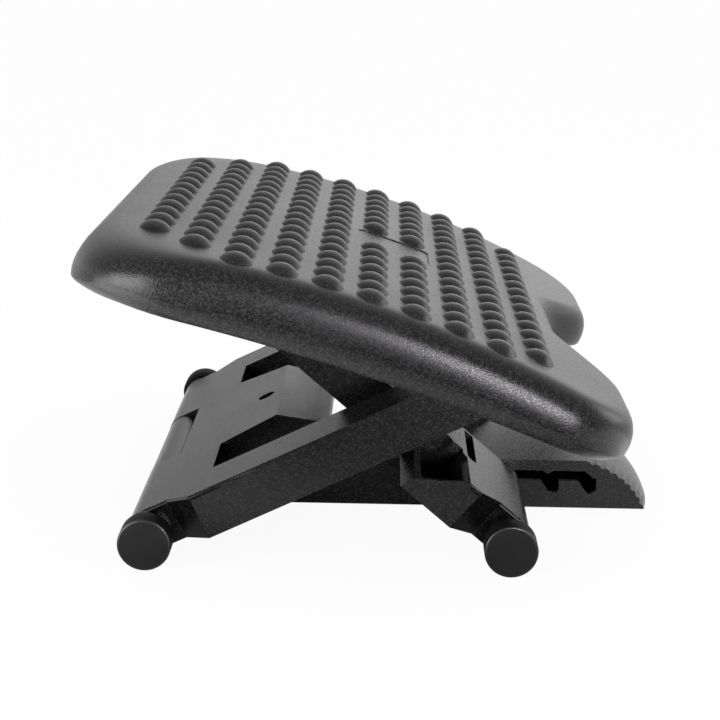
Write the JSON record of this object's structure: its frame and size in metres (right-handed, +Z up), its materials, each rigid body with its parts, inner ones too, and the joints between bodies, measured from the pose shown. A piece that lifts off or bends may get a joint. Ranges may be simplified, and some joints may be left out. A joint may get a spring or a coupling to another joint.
{
  "type": "under desk footrest",
  "caption": "Tilting footrest with a domed moulded tray on crossed leg frames, a slotted rail box between round foot bars, and rubber end caps.",
  "frame": {"origin": "on the floor under the rail box, midway between the rear and front foot bars", "axes": "+X towards the open front with the tray's notch, +Y across the width, +Z up from the floor"},
  "size_m": [0.3906, 0.4326, 0.2193],
  "materials": {
    "grained_black_plastic": "grained satin",
    "frame_black_plastic": "fine matte grain",
    "rubber_black": "smooth matte",
    "rod_steel": "drawn rod",
    "screw_steel": "zinc plated"
  },
  "bodies": {
    "rail": {"rail_box": "frame_black_plastic"},
    "rear_rod": {"rear_hinge_rod": "rod_steel"},
    "rear_legs": {"rear_frame": "frame_black_plastic", "rear_foot_cap_near": "rubber_black", "rear_foot_cap_far": "rubber_black"},
    "tray_body": {"tray": "grained_black_plastic", "front_hinge_rod": "rod_steel", "rear_top_hinge_rod": "rod_steel", "rear_keeper_near": "frame_black_plastic", "rear_keeper_far": "frame_black_plastic", "front_keeper_near": "frame_black_plastic", "front_keeper_far": "frame_black_plastic", "rear_keeper_near_screw_a": "screw_steel", "rear_keeper_near_screw_b": "screw_steel", "rear_keeper_far_screw_a": "screw_steel", "rear_keeper_far_screw_b": "screw_steel", "front_keeper_near_screw_a": "screw_steel", "front_keeper_near_screw_b": "screw_steel", "front_keeper_far_screw_a": "screw_steel", "front_keeper_far_screw_b": "screw_steel"},
    "front_legs": {"front_frame": "frame_black_plastic", "front_foot_cap_near": "rubber_black", "front_foot_cap_far": "rubber_black", "front_foot_pin": "rod_steel"}
  },
  "joints": [
    {"name": "height_release", "type": "hinge", "parent": "rail", "child": "rear_rod", "pos_m": [-0.117, 0, 0.01725], "axis": [0, -1, 0], "range_deg": [0, 2]},
    {"name": "rear_leg_swing", "type": "hinge", "parent": "rear_rod", "child": "rear_legs", "pos_m": [-0.117, 0, 0.01725], "axis": [0, 1, 0], "range_deg": [-4.1, 4.1]},
    {"name": "tray_tilt", "type": "hinge", "parent": "rear_legs", "child": "tray_body", "pos_m": [0.10867, 0, 0.12484], "axis": [0, 1, 0], "range_deg": [-8, 8]},
    {"name": "front_leg_swing", "type": "hinge", "parent": "tray_body", "child": "front_legs", "pos_m": [-0.07778, 0, 0.18183], "axis": [0, 1, 0], "range_deg": [-5.5, 5.5]}
  ],
  "couplings": [
    {"joint": "tray_tilt", "follows": "rear_leg_swing", "ratio": 1.942},
    {"joint": "front_leg_swing", "follows": "rear_leg_swing", "ratio": -1.297}
  ]
}
